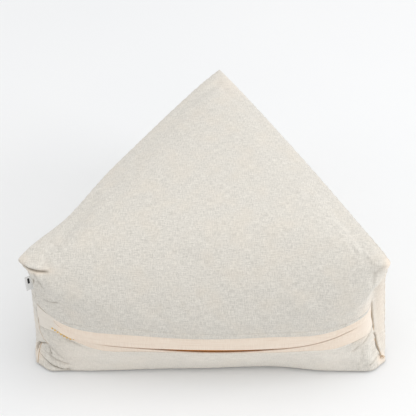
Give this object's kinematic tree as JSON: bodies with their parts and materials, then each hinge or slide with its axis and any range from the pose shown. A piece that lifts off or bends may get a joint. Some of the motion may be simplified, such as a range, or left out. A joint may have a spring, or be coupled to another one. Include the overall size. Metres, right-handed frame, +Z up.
{
  "type": "triangular zafu",
  "caption": "Firm filled triangular meditation cushion in a linen-look cover, crowned on top, with drawn-in corners and a lapped zip placket along its front.",
  "frame": {"origin": "middle of the triangular plan, on the flat underside, which lies on the surface", "axes": "+Z up through the crown, +Y towards the corner opposite the placket, -Y out of the placket front, +X to the right as the placket is seen"},
  "size_m": [0.4234, 0.4023, 0.1881],
  "materials": {
    "linen_look_cloth": "matt plain weave of fine natural yarns, greyish beige with paler and darker threads",
    "unbleached_cotton": "matt smooth cream-peach cotton with a pressed hem",
    "brass": "satin stamped teeth",
    "woven_label": "matt white folded tape, print left off"
  },
  "bodies": {
    "root": {"cushion_body": "linen_look_cloth", "zip_lap": "unbleached_cotton", "zip_underlap": "unbleached_cotton", "zip_chain": "brass", "side_label": "woven_label"}
  },
  "joints": []
}
